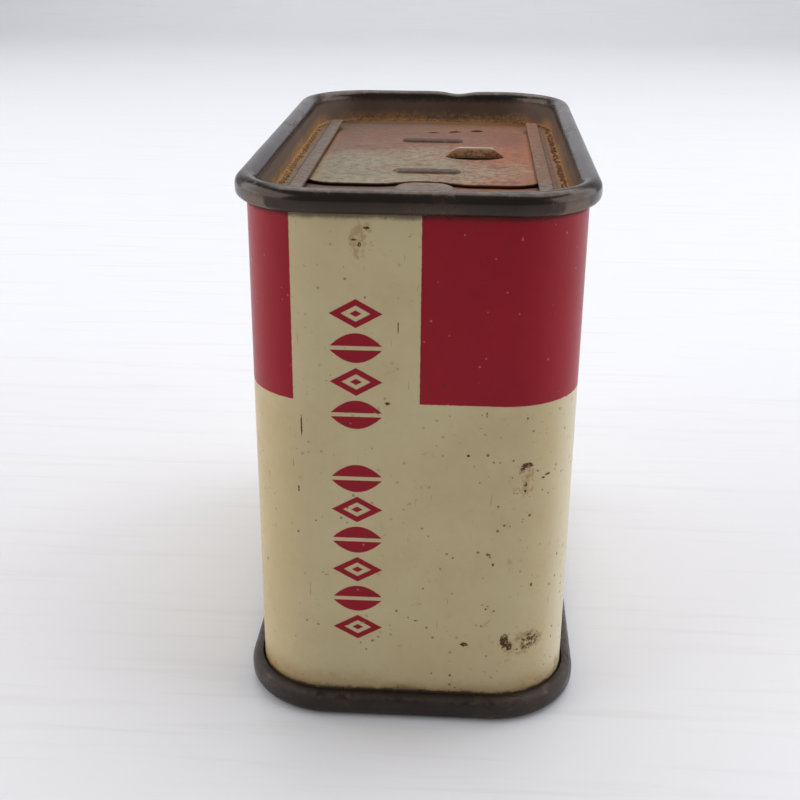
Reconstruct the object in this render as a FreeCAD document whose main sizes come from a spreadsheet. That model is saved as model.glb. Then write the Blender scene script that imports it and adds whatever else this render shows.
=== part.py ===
import FreeCAD, Part
import math
import os
import Sketcher

# Rectangular spice tin with a seamed top and a sifter slide.
#
# The tin is a three-piece can. A tube of printed tinplate (the body shell) is closed at each end by a
# stamped end whose rim is rolled over the tube's hooked flange. The top end is deeply countersunk. Its
# panel has sifter holes, a pouring hole and a stop boss, and a small plate slides under two rails over them.
#
# Frame: millimetres, +Z up, the origin at the centre of the footprint on the surface that the tin stands on.
# X is the short side and Y the long one. The slide is at its front stop, and travels towards +Y.
# Offsets called "out" are measured outwards from the tube's outer face.

SHEET_NAME = "Sizes"

DRIVING_SIZES = {
    # the tube
    "tin_width": 37.5,
    "tin_depth": 70.0,
    "tin_height": 64.3,
    "corner_radius": 9.0,
    "plate": 0.3,
    # the double seams: the rim, the room inside it and the tube's hook in that room
    "top_seam_out": 1.25,
    "top_seam_in": 1.15,
    "top_seam_height": 2.6,
    "top_crest": 1.1,
    "bottom_seam_out": 1.6,
    "bottom_seam_in": 1.0,
    "bottom_seam_height": 3.1,
    "bottom_crest": 1.1,
    "seam_heel": 0.6,
    "crest_depth": 1.0,
    "hook_out": 0.85,
    "hook_length": 0.95,
    "hook_room": 1.5,
    "compound_depth": 0.4,
    "fit_gap": 0.03,
    # the ends
    "top_countersink": 4.4,
    "bottom_countersink": 3.6,
    "panel_corner": 0.4,
    "bead_inset": 5.2,
    "bead_width": 1.4,
    "bead_rise": 0.35,
    # the rails, Z-shaped strips that stand on the top panel
    "lip_edge": 13.7,
    "rail_web": 15.5,
    "rail_foot": 16.2,
    "rail_length": 54.0,
    "rail_height": 1.0,
    # the stop boss
    "boss_place_x": 0.3,
    "boss_place_y": -15.7,
    "boss_width": 7.4,
    "boss_length": 5.8,
    "boss_corner": 2.7,
    "boss_height": 0.5,
    # the slide
    "slide_width": 29.8,
    "slide_length": 36.0,
    "slide_corner": 4.5,
    "slide_lift": 0.15,
    "slide_place": 4.0,
    "notch_radius": 5.0,
    "notch_depth": 1.6,
    "notch_place": 0.3,
    "notch_round": 2.6,
    "rib_length": 8.5,
    "rib_width": 2.0,
    "rib_rise": 0.35,
    "front_rib_place": -7.2,
    "back_rib_place": 13.8,
    "lug_place_x": 6.2,
    "lug_place_y": 3.2,
    "lug_width": 7.6,
    "lug_thickness": 0.35,
    "lug_height": 1.2,
    "lug_slot": 1.5,
    # the holes in the top panel
    "sifter_radius": 0.9,
    "sifter_start_x": 0.1,
    "sifter_start_y": 23.0,
    "sifter_step_x": 3.2,
    "sifter_step_y": 1.1,
    "pour_width": 8.0,
    "pour_length": 5.7,
    "pour_corner": 1.2,
    "pour_place_x": -8.2,
    "pour_place_y": -6.1,
    # the side seam on the back
    "lap_width": 4.0,
    "lap_rise": 0.5,
    "lap_margin": 6.0,
    "solder_width": 1.6,
    "solder_depth": 0.2,
    "solder_proud": 0.08,
}

SIFTER_COUNT = 3


class Size:
    """A length known both as a number and as an expression on the document's spreadsheet."""

    def __init__(self, value, text):
        self.value = value
        self.text = text

    @staticmethod
    def of(other):
        return other if isinstance(other, Size) else Size(float(other), f"({float(other)})")

    def joined(self, sign, other, value):
        return Size(value, f"({self.text} {sign} {Size.of(other).text})")

    def __add__(self, other):
        return self.joined("+", other, self.value + Size.of(other).value)

    def __sub__(self, other):
        return self.joined("-", other, self.value - Size.of(other).value)

    def __mul__(self, other):
        return self.joined("*", other, self.value * Size.of(other).value)

    def __truediv__(self, other):
        return self.joined("/", other, self.value / Size.of(other).value)


def make_sheet(doc):
    """The spreadsheet of driving dimensions, one alias to a row, and the Size of each."""
    sheet = doc.addObject("Spreadsheet::Sheet", SHEET_NAME)
    sizes = {}
    for row, (alias, value) in enumerate(DRIVING_SIZES.items(), start=1):
        sheet.set(f"A{row}", alias)
        sheet.set(f"B{row}", str(value))
        sheet.setAlias(f"B{row}", alias)
        sizes[alias] = Size(value, f"{SHEET_NAME}.{alias}")
    doc.recompute()
    return sizes


# Sketches


def new_sketch(body, name, plane, offset=None):
    """A sketch on one of the body's origin planes, moved along its normal by the Size offset."""
    sketch = body.newObject("Sketcher::SketchObject", name)
    support = [feature for feature in body.Origin.OriginFeatures if feature.Role == plane][0]
    sketch.AttachmentSupport = [(support, "")]
    sketch.MapMode = "FlatFace"
    if offset is not None:
        sketch.setExpression("AttachmentOffset.Base.z", offset.text)
    return sketch


def hold(sketch, kind, *where, size):
    """A dimensional constraint bound to the spreadsheet."""
    index = sketch.addConstraint(Sketcher.Constraint(kind, *where, size.value))
    sketch.setExpression(f"Constraints[{index}]", size.text)


def hold_point(sketch, geometry, vertex, x, y):
    """Holds a sketch point at the Sizes x and y. A coordinate of nought puts it on the axis."""
    for kind, axis, size in (("DistanceX", -2, x), ("DistanceY", -1, y)):
        if abs(size.value) < 1e-9:
            sketch.addConstraint(Sketcher.Constraint("PointOnObject", geometry, vertex, axis))
        else:
            hold(sketch, kind, -1, 1, geometry, vertex, size=size)


def draw_polygon(sketch, corners):
    """A closed polygon through (x, y) pairs of Sizes."""
    spots = [FreeCAD.Vector(x.value, y.value, 0) for x, y in corners]
    lines = [
        sketch.addGeometry(Part.LineSegment(start, end), False)
        for start, end in zip(spots, spots[1:] + spots[:1])
    ]
    for before, line, (x, y) in zip(lines[-1:] + lines[:-1], lines, corners):
        sketch.addConstraint(Sketcher.Constraint("Coincident", before, 2, line, 1))
        hold_point(sketch, line, 1, x, y)


def draw_box(sketch, x, y, width, length):
    """A rectangle about (x, y)."""
    left, right = x - width / 2, x + width / 2
    low, high = y - length / 2, y + length / 2
    draw_polygon(sketch, [(left, low), (right, low), (right, high), (left, high)])


def draw_rounded_box(sketch, x, y, width, length, radius):
    """A rectangle about (x, y) with four equal round corners, each a fully held arc."""
    reach_x, reach_y = width / 2 - radius, length / 2 - radius
    centres = [
        (x + reach_x, y + reach_y),
        (x - reach_x, y + reach_y),
        (x - reach_x, y - reach_y),
        (x + reach_x, y - reach_y),
    ]
    up = FreeCAD.Vector(0, 0, 1)
    quarter = math.pi / 2
    arcs = []
    for turn, (centre_x, centre_y) in enumerate(centres):
        circle = Part.Circle(FreeCAD.Vector(centre_x.value, centre_y.value, 0), up, radius.value)
        arc = sketch.addGeometry(Part.ArcOfCircle(circle, turn * quarter, (turn + 1) * quarter), False)
        hold_point(sketch, arc, 3, centre_x, centre_y)
        hold(sketch, "Radius", arc, size=radius)
        first, last = ("Horizontal", "Vertical") if turn % 2 == 0 else ("Vertical", "Horizontal")
        sketch.addConstraint(Sketcher.Constraint(first, arc, 1, arc, 3))
        sketch.addConstraint(Sketcher.Constraint(last, arc, 2, arc, 3))
        arcs.append(arc)
    for arc, following in zip(arcs, arcs[1:] + arcs[:1]):
        start = sketch.Geometry[arc].EndPoint
        end = sketch.Geometry[following].StartPoint
        line = sketch.addGeometry(Part.LineSegment(start, end), False)
        sketch.addConstraint(Sketcher.Constraint("Coincident", arc, 2, line, 1))
        sketch.addConstraint(Sketcher.Constraint("Coincident", line, 2, following, 1))


def draw_circle(sketch, x, y, radius):
    centre = FreeCAD.Vector(x.value, y.value, 0)
    circle = sketch.addGeometry(Part.Circle(centre, FreeCAD.Vector(0, 0, 1), radius.value), False)
    hold_point(sketch, circle, 3, x, y)
    hold(sketch, "Radius", circle, size=radius)


def draw_tin_outline(sketch, sizes, out):
    """The tube's plan, grown by the Size out."""
    nought = Size.of(0)
    draw_rounded_box(
        sketch,
        nought,
        nought,
        sizes["tin_width"] + out * 2,
        sizes["tin_depth"] + out * 2,
        sizes["corner_radius"] + out,
    )


# Features


def new_body(doc, label):
    body = doc.addObject("PartDesign::Body", "Body_" + label)
    body.Label = label
    return body


def add_pad(doc, body, sketch, length, name, symmetric=False):
    pad = body.newObject("PartDesign::Pad", name)
    pad.Profile = sketch
    pad.setExpression("Length", length.text)
    if symmetric:
        pad.SideType = "Symmetric"
    doc.recompute()
    return pad


def cut_pocket(doc, body, sketch, length, name):
    """A pocket that goes both ways from its sketch. It must take something away."""
    before = body.Shape.Volume
    pocket = body.newObject("PartDesign::Pocket", name)
    pocket.Profile = sketch
    pocket.setExpression("Length", length.text)
    pocket.SideType = "Symmetric"
    doc.recompute()
    if before - body.Shape.Volume < 1e-3:
        raise RuntimeError(f"{name} cuts nothing")
    return pocket


def round_edges(doc, body, wanted, radius, name):
    """Fillets the edges of the body's tip for which wanted(edge) holds."""
    tip = body.Tip
    edges = [f"Edge{number}" for number, edge in enumerate(tip.Shape.Edges, start=1) if wanted(edge)]
    if not edges:
        raise RuntimeError(f"{name} finds no edge")
    fillet = body.newObject("PartDesign::Fillet", name)
    fillet.Base = (tip, edges)
    fillet.setExpression("Radius", radius.text)
    doc.recompute()
    return fillet


def add_rings(doc, body, sizes, rings, low, high, name):
    """Pads one or more rings of the tube's plan, given as (outer, inner) offsets, from low to high."""
    sketch = new_sketch(body, name + "Outline", "XY_Plane", low)
    for outer, inner in rings:
        draw_tin_outline(sketch, sizes, outer)
        if inner is not None:
            draw_tin_outline(sketch, sizes, inner)
    return add_pad(doc, body, sketch, high - low, name)


def loop_edge(sizes, out, height):
    """A test for the edges that run round the tin at an offset and a height."""
    half_width = sizes["tin_width"].value / 2 + out.value
    half_depth = sizes["tin_depth"].value / 2 + out.value

    def wanted(edge):
        box = edge.BoundBox
        if box.ZLength > 1e-4 or abs(box.ZMin - height.value) > 1e-4:
            return False
        on_side = max(abs(box.XMin), abs(box.XMax)) > half_width - 1e-3
        on_end = max(abs(box.YMin), abs(box.YMax)) > half_depth - 1e-3
        inside = max(abs(box.XMin), abs(box.XMax)) < half_width + 1e-3
        return (on_side or on_end) and inside and max(abs(box.YMin), abs(box.YMax)) < half_depth + 1e-3

    return wanted


# The pieces


def build_body_shell(doc, sizes):
    """The tube, hooked outwards at both ends, with the ridge of its side seam inside the back."""
    body = new_body(doc, "body_shell")
    plate, none = sizes["plate"], Size.of(0)
    inside = none - plate
    hook, crest = sizes["hook_out"], sizes["crest_depth"]
    low, high = crest, sizes["tin_height"] - crest
    add_rings(doc, body, sizes, [(none, inside)], low, high, "Tube")
    add_rings(doc, body, sizes, [(hook, inside)], high - plate, high, "TopFlange")
    add_rings(doc, body, sizes, [(hook, hook - plate)], high - sizes["hook_length"], high, "TopHook")
    add_rings(doc, body, sizes, [(hook, inside)], low, low + plate, "BottomFlange")
    add_rings(doc, body, sizes, [(hook, hook - plate)], low, low + sizes["hook_length"], "BottomHook")

    back = sizes["tin_depth"] / 2
    overlap = plate / 2
    ridge = new_sketch(body, "LapOutline", "XY_Plane", sizes["lap_margin"])
    draw_box(
        ridge, none, back - plate + overlap / 2 - sizes["lap_rise"] / 2, sizes["lap_width"],
        sizes["lap_rise"] + overlap,
    )
    add_pad(doc, body, ridge, sizes["tin_height"] - sizes["lap_margin"] * 2, "LapRidge")
    groove = new_sketch(body, "GrooveOutline", "XY_Plane", sizes["tin_height"] / 2)
    draw_box(groove, none, back, sizes["solder_width"], sizes["solder_depth"] * 2)
    cut_pocket(doc, body, groove, sizes["tin_height"] - sizes["lap_margin"] * 2, "SolderGroove")
    return body


def build_side_seam_solder(doc, sizes):
    """The strip of solder that lies in the groove of the side seam and stands a little proud of it."""
    body = new_body(doc, "side_seam_solder")
    gap = sizes["fit_gap"]
    depth = sizes["solder_depth"] - gap + sizes["solder_proud"]
    middle = sizes["tin_depth"] / 2 + sizes["solder_proud"] - depth / 2
    margin = sizes["lap_margin"] + gap
    outline = new_sketch(body, "SolderOutline", "XY_Plane", margin)
    draw_box(outline, Size.of(0), middle, sizes["solder_width"] - gap * 2, depth)
    add_pad(doc, body, outline, sizes["tin_height"] - margin * 2, "Solder")
    return body


def build_compound(doc, sizes, label, at_top):
    """The ring of sealing compound between the tube's flange and the crest of a seam."""
    body = new_body(doc, label)
    gap = sizes["fit_gap"]
    near, far = sizes["crest_depth"] - gap, sizes["crest_depth"] - sizes["compound_depth"] + gap
    low, high = (sizes["tin_height"] - near, sizes["tin_height"] - far) if at_top else (far, near)
    outer, inner = sizes["hook_out"], Size.of(0) - sizes["plate"]
    add_rings(doc, body, sizes, [(outer, inner)], low, high, "Ring")
    return body


def add_rim(doc, body, sizes, side):
    """The rolled rim of an end, with the room for the tube's hook inside it, and the countersink wall.

    It is built in layers, away from the crest. The level of a depth is measured from the crest of the seam.
    """
    out, inward = sizes[side + "_seam_out"], Size.of(0) - sizes[side + "_seam_in"]
    seam, crest = sizes[side + "_seam_height"], sizes[side + "_crest"]
    plate, gap, none = sizes["plate"], sizes["fit_gap"], Size.of(0)
    roof = sizes["crest_depth"] - sizes["compound_depth"]
    ledge = roof + sizes["hook_room"]
    wall_out = none - plate - gap
    neck_out, room_out = none + gap, sizes["hook_out"] + gap

    def level(depth):
        return sizes["tin_height"] - depth if side == "top" else depth + 0

    def layer(rings, near, far, name):
        ends = (level(far), level(near)) if side == "top" else (level(near), level(far))
        return add_rings(doc, body, sizes, rings, *ends, name)

    layer([(out, inward)], none, roof, "Crest")
    layer([(out, room_out), (wall_out, inward)], roof, ledge, "HookRoom")
    layer([(out, neck_out), (wall_out, inward)], ledge, seam, "Hook")
    floor = sizes[side + "_countersink"]
    layer([(inward + plate, inward)], seam, floor, "CountersinkWall")
    layer([(inward + plate, None)], floor, floor + plate, "Panel")
    for offset, name in ((out, "OuterRound"), (inward, "InnerRound")):
        round_edges(doc, body, loop_edge(sizes, offset, level(none)), crest, name)
    round_edges(doc, body, loop_edge(sizes, out, level(seam)), sizes["seam_heel"], "HeelRound")
    round_edges(doc, body, loop_edge(sizes, inward, level(floor)), sizes["panel_corner"], "PanelCorner")
    return body


def build_top_end(doc, sizes):
    """The top end: rim, countersunk panel, stop boss, sifter holes and pouring hole."""
    body = new_body(doc, "top_end")
    add_rim(doc, body, sizes, "top")
    plate = sizes["plate"]
    floor = sizes["tin_height"] - sizes["top_countersink"]

    boss = new_sketch(body, "BossOutline", "XY_Plane", floor - plate / 2)
    draw_rounded_box(
        boss, sizes["boss_place_x"], sizes["boss_place_y"], sizes["boss_width"], sizes["boss_length"],
        sizes["boss_corner"],
    )
    add_pad(doc, body, boss, sizes["boss_height"] + plate / 2, "Boss")

    holes = new_sketch(body, "SifterHoles", "XY_Plane", floor)
    for number in range(SIFTER_COUNT):
        x = sizes["sifter_start_x"] + sizes["sifter_step_x"] * number
        y = sizes["sifter_start_y"] + sizes["sifter_step_y"] * number
        draw_circle(holes, x, y, sizes["sifter_radius"])
    cut_pocket(doc, body, holes, plate * 4, "Sifter")

    pour = new_sketch(body, "PourOutline", "XY_Plane", floor)
    draw_rounded_box(
        pour, sizes["pour_place_x"], sizes["pour_place_y"], sizes["pour_width"], sizes["pour_length"],
        sizes["pour_corner"],
    )
    cut_pocket(doc, body, pour, plate * 4, "PourHole")
    return body


def build_bottom_end(doc, sizes):
    """The bottom end: rim, countersunk panel and a raised stiffening bead."""
    body = new_body(doc, "bottom_end")
    add_rim(doc, body, sizes, "bottom")
    outer = Size.of(0) - sizes["bead_inset"]
    face = sizes["bottom_countersink"] + sizes["plate"] / 2
    top = face + sizes["plate"] / 2 + sizes["bead_rise"]
    add_rings(doc, body, sizes, [(outer, outer - sizes["bead_width"])], face, top, "Bead")
    return body


def build_rail(doc, sizes, label, side):
    """A Z-shaped strip: a foot on the panel, an upright web and a lip over the edge of the slide."""
    body = new_body(doc, label)
    plate, gap = sizes["plate"], sizes["fit_gap"]
    floor = sizes["tin_height"] - sizes["top_countersink"] + gap
    top = floor + sizes["rail_height"]
    web, foot, lip = sizes["rail_web"], sizes["rail_foot"], sizes["lip_edge"]
    section = new_sketch(body, "Section", "XZ_Plane")
    corners = [
        (foot, floor),
        (foot, floor + plate),
        (web, floor + plate),
        (web, top),
        (lip, top),
        (lip, top - plate),
        (web - plate, top - plate),
        (web - plate, floor),
    ]
    draw_polygon(section, [(x * side, z) for x, z in corners])
    add_pad(doc, body, section, sizes["rail_length"], "Strip", symmetric=True)
    return body


def build_slide_plate(doc, sizes):
    """The slide: a notched plate with two ribs across it and a half-moon lug to push."""
    body = new_body(doc, "slide_plate")
    plate, none = sizes["plate"], Size.of(0)
    low = sizes["tin_height"] - sizes["top_countersink"] + sizes["slide_lift"]
    place, length = sizes["slide_place"], sizes["slide_length"]
    sheet = new_sketch(body, "PlateOutline", "XY_Plane", low)
    draw_rounded_box(sheet, none, place, sizes["slide_width"], length, sizes["slide_corner"])
    add_pad(doc, body, sheet, plate, "Plate")

    notches = new_sketch(body, "Notches", "XY_Plane", low)
    reach = length / 2 + sizes["notch_radius"] - sizes["notch_depth"]
    for centre in (place - reach, place + reach):
        draw_circle(notches, sizes["notch_place"], centre, sizes["notch_radius"])
    cut_pocket(doc, body, notches, plate * 4, "NotchCuts")
    far = length.value / 2

    def notch_corner(edge):
        box = edge.BoundBox
        upright = box.ZLength > plate.value / 2
        at_end = abs(abs(box.YMin - place.value) - far) < 1e-3
        return upright and at_end and abs(box.XMin) < sizes["slide_width"].value / 4

    round_edges(doc, body, notch_corner, sizes["notch_round"], "NotchRounds")

    ribs = new_sketch(body, "RibOutlines", "XY_Plane", low + plate / 2)
    for rib in (sizes["front_rib_place"], sizes["back_rib_place"]):
        draw_rounded_box(
            ribs, sizes["notch_place"], rib, sizes["rib_length"], sizes["rib_width"],
            sizes["rib_width"] / 2.5,
        )
    add_pad(doc, body, ribs, sizes["rib_rise"] + plate / 2, "Ribs")

    lug_x, lug_y, half = sizes["lug_place_x"], sizes["lug_place_y"], sizes["lug_width"] / 2
    slot = new_sketch(body, "LugSlot", "XY_Plane", low)
    middle = lug_y - sizes["lug_thickness"] / 2 - sizes["lug_slot"] / 2
    draw_box(slot, lug_x, middle, sizes["lug_width"], sizes["lug_slot"])
    cut_pocket(doc, body, slot, plate * 4, "LugSlotCut")
    lug = new_sketch(body, "LugOutline", "XZ_Plane", none - lug_y)
    top = low + plate + sizes["lug_height"]
    foot = low + plate / 2
    draw_polygon(
        lug,
        [
            (lug_x - half, foot),
            (lug_x + half, foot),
            (lug_x + half * 0.9, top - sizes["lug_height"] * 0.55),
            (lug_x + half * 0.6, top),
            (lug_x - half * 0.6, top),
            (lug_x - half * 0.9, top - sizes["lug_height"] * 0.55),
        ],
    )
    add_pad(doc, body, lug, sizes["lug_thickness"], "Lug", symmetric=True)
    return body


def check_document(doc):
    """Stops on any object marked as wrong, and on any shape that isn't sound."""
    for item in doc.Objects:
        if any(mark in ("Invalid", "Error") for mark in item.State):
            raise RuntimeError(f"{item.Name}: {item.State}")
        if item.isDerivedFrom("PartDesign::Feature") or item.isDerivedFrom("PartDesign::Body"):
            if item.Shape.isNull() or not item.Shape.isValid():
                raise RuntimeError(f"{item.Name} has no valid shape")


def main():
    doc = FreeCAD.newDocument("SpiceTin")
    sizes = make_sheet(doc)
    bodies = [
        build_body_shell(doc, sizes),
        build_side_seam_solder(doc, sizes),
        build_top_end(doc, sizes),
        build_compound(doc, sizes, "top_seam_compound", True),
        build_bottom_end(doc, sizes),
        build_compound(doc, sizes, "bottom_seam_compound", False),
        build_rail(doc, sizes, "left_rail", -1),
        build_rail(doc, sizes, "right_rail", 1),
        build_slide_plate(doc, sizes),
    ]
    doc.recompute()
    check_document(doc)
    os.makedirs("parts", exist_ok=True)
    for body in bodies:
        box = body.Shape.BoundBox
        print(
            f"{body.Label}: {len(body.Shape.Solids)} solid, {body.Shape.Volume:.1f} mm3,"
            f" x {box.XMin:.2f} to {box.XMax:.2f}, y {box.YMin:.2f} to {box.YMax:.2f},"
            f" z {box.ZMin:.2f} to {box.ZMax:.2f}"
        )
        body.Shape.exportStep(f"parts/{body.Label}.step")


main()
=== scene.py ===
import math

import bmesh
import bpy
from mathutils import Matrix, Vector, noise


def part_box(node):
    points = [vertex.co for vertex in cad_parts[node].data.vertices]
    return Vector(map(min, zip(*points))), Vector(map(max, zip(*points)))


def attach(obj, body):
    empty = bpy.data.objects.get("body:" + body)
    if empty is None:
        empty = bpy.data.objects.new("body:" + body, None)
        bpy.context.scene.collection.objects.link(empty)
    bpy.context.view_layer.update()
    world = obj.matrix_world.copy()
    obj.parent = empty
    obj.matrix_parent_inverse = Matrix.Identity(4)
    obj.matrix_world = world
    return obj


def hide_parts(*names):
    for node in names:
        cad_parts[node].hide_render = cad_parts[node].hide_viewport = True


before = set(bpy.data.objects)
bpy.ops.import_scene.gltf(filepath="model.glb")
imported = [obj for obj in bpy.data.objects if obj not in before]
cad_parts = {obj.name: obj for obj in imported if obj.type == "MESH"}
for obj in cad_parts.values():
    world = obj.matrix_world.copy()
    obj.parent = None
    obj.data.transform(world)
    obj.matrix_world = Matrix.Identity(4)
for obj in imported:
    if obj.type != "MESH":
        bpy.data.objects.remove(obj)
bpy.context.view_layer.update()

mm = 0.001


# measures that every piece shares, read from the frame

shellLow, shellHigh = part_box("body_shell")
topLow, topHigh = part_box("top_end")
slideLow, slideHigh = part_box("slide_plate")
railLow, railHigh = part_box("right_rail")

tin = {
    "width": 37.5,          # across the printed wall, mm
    "depth": 70.0,
    "corner": 9.0,
    "sheet": 0.3,
    "top": topHigh[2] / mm,
    "panelTop": topLow[2] / mm + 0.3,
    "pathPoints": 440,      # cross-sections round the tin
}


def paint(red, green, blue):
    # colour from screen values
    shares = [c / 255 for c in (red, green, blue)]
    return tuple(c / 12.92 if c <= 0.04 else ((c + 0.055) / 1.055) ** 2.4 for c in shares) + (1.0,)


well = {
    "panelHalf": (17.5, 33.75),
    "panelCorner": 7.75,
    "sifterCount": 3,
    "sifterRadius": 0.9,
    "sifterStart": (0.1, 23.0),
    "sifterStep": (3.2, 1.1),
    "pourHalf": (4.0, 2.85),
    "pourCorner": 1.2,
    "pourPlace": (-8.2, -6.1),
    "boss": (0.3, -15.7),
    "bossHalf": (3.7, 2.9),
    "bossCorner": 2.7,
}

# shader wiring

class Signal:
    # a socket that can be used in sums
    def __init__(self, shop, socket):
        self.shop = shop
        self.socket = socket

    def math(self, operation, *others):
        inputs = {0: self}
        inputs.update({i + 1: other for i, other in enumerate(others)})
        return self.shop.node("ShaderNodeMath", {"operation": operation}, inputs)

    def __add__(self, other): return self.math("ADD", other)
    def __radd__(self, other): return self.math("ADD", other)
    def __sub__(self, other): return self.math("SUBTRACT", other)
    def __rsub__(self, other): return (self * -1.0) + other
    def __mul__(self, other): return self.math("MULTIPLY", other)
    def __rmul__(self, other): return self.math("MULTIPLY", other)
    def __truediv__(self, other): return self.math("DIVIDE", other)
    def __abs__(self): return self.math("ABSOLUTE")
    def atLeast(self, other): return self.math("MAXIMUM", other)
    def atMost(self, other): return self.math("MINIMUM", other)

    def rise(self, start, end):
        # 0 below start, 1 above end, smooth between
        settings = {"interpolation_type": "SMOOTHSTEP"}
        return self.shop.node("ShaderNodeMapRange", settings, {0: self, 1: start, 2: end, 3: 0.0, 4: 1.0})

    def fall(self, start, end):
        settings = {"interpolation_type": "SMOOTHSTEP"}
        return self.shop.node("ShaderNodeMapRange", settings, {0: self, 1: start, 2: end, 3: 1.0, 4: 0.0})

    def between(self, low, high, soft):
        return self.rise(low - soft, low + soft) * self.fall(high - soft, high + soft)


class Shop:
    # one material and its nodes
    def __init__(self, name):
        self.material = bpy.data.materials.new(name)
        self.material.use_nodes = True
        self.tree = self.material.node_tree
        self.tree.nodes.clear()
        self.output = self.tree.nodes.new("ShaderNodeOutputMaterial")
        place = self.tree.nodes.new("ShaderNodeTexCoord")
        self.place = self.node("ShaderNodeVectorMath", {"operation": "SCALE"},
                               {0: place.outputs["Object"], "Scale": 1 / mm})
        split = self.raw("ShaderNodeSeparateXYZ", {}, {0: self.place})
        self.x, self.y, self.z = (Signal(self, split.outputs[i]) for i in range(3))

    def raw(self, kind, settings, inputs):
        node = self.tree.nodes.new(kind)
        for name, value in settings.items():
            setattr(node, name, value)
        for name, value in inputs.items():
            socket = node.inputs[name]
            if isinstance(value, Signal):
                self.tree.links.new(value.socket, socket)
            elif isinstance(value, bpy.types.NodeSocket):
                self.tree.links.new(value, socket)
            else:
                socket.default_value = value
        return node

    def node(self, kind, settings, inputs, output=0):
        return Signal(self, self.raw(kind, settings, inputs).outputs[output])

    def stretch(self, x, y, z):
        return self.node("ShaderNodeVectorMath", {"operation": "MULTIPLY"}, {0: self.place, 1: (x, y, z)})

    def cloud(self, scale, detail=4.0, rough=0.55, warp=0.0, where=None):
        inputs = {"Vector": where or self.place, "Scale": scale, "Detail": detail,
                  "Roughness": rough, "Distortion": warp}
        return self.node("ShaderNodeTexNoise", {"noise_dimensions": "3D"}, inputs, "Fac")

    def cells(self, scale, output, feature="F1", where=None):
        inputs = {"Vector": where or self.place, "Scale": scale, "Randomness": 1.0}
        return self.node("ShaderNodeTexVoronoi", {"feature": feature}, inputs, output)

    def specks(self, scale, share, size):
        # round spots: only some cells get one, and each has its own size
        chance = self.node("ShaderNodeSeparateColor", {}, {0: self.cells(scale, "Color")}, 0)
        reach = chance.rise(1.0 - share, 1.0) * size * scale
        return (reach - self.cells(scale, "Distance")).rise(0.0, 0.06)

    def mix(self, first, second, share):
        settings = {"data_type": "RGBA", "blend_type": "MIX", "clamp_factor": True}
        return self.node("ShaderNodeMix", settings, {0: share, 6: first, 7: second}, 2)

    def spot(self, x, z, width, height, ragged):
        # a blot on the front wall with an uneven edge
        across = (self.x - x) / width
        along = (self.z - z) / height
        return (across * across + along * along + ragged).fall(0.7, 1.1) * self.y.fall(-20.0, -19.0)

    def finish(self, colour, rough, metal, height=None, strength=0.3, distance=0.0001, fixed=None, coat=None):
        inputs = {"Base Color": colour, "Roughness": rough, "Metallic": metal}
        if coat is not None:
            inputs["Coat Weight"] = coat
        if height is not None:
            bump = {"Strength": strength, "Distance": distance, "Height": height}
            inputs["Normal"] = self.node("ShaderNodeBump", {}, bump)
        inputs.update(fixed or {})
        shader = self.raw("ShaderNodeBsdfPrincipled", {}, inputs)
        self.tree.links.new(shader.outputs[0], self.output.inputs["Surface"])
        return self.material


# finishes

printSizes = {
    "cream": paint(196, 181, 143),
    "creamDeep": paint(182, 162, 120),
    "creamCorner": paint(182, 160, 108),
    "red": paint(152, 0, 28),
    "redDeep": paint(128, 0, 22),
    "dirt": paint(52, 38, 28),
    "rust": paint(104, 66, 38),
    "bandLow": 40.6,        # lower edge of the red band, mm up
    "stripeLeft": -13.07,
    "stripeRight": 0.9,
    "motifMiddle": -6.05,   # the column of leaves and lozenges
    "motifHalf": 3.05,
    "motifStart": 9.9,
    "motifPitch": 3.9,
    "motifCount": 11,
    "motifGap": 6,          # this place in the column stays empty
    "chips": (             # place across and up, half width and half height
        (13.0, 33.4, 0.7, 0.34), (12.5, 33.0, 0.3, 0.2), (12.9, 31.0, 0.2, 0.3),
        (12.9, 30.2, 0.16, 0.16), (15.4, 31.8, 0.34, 0.16), (14.9, 31.5, 0.2, 0.12),
        (9.0, 22.2, 0.24, 0.2), (9.6, 20.9, 0.14, 0.2), (11.3, 10.5, 0.5, 1.0),
        (11.9, 9.7, 0.4, 0.6), (6.6, 9.9, 0.5, 0.3), (6.4, 34.6, 0.16, 0.16),
        (-4.9, 60.2, 0.4, 0.16), (-5.6, 58.4, 0.2, 0.3), (-6.2, 58.9, 0.3, 0.12),
        (-1.5, 49.4, 0.07, 0.7), (-2.6, 40.6, 0.3, 0.2), (8.3, 39.6, 0.08, 0.3),
        (-12.2, 37.6, 0.09, 1.3), (-12.7, 29.6, 0.1, 0.4), (1.6, 17.4, 0.12, 0.12),
        (9.0, 14.9, 0.14, 0.14), (0.9, 13.0, 0.3, 0.1), (14.2, 17.8, 0.14, 0.2)),
}


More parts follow.
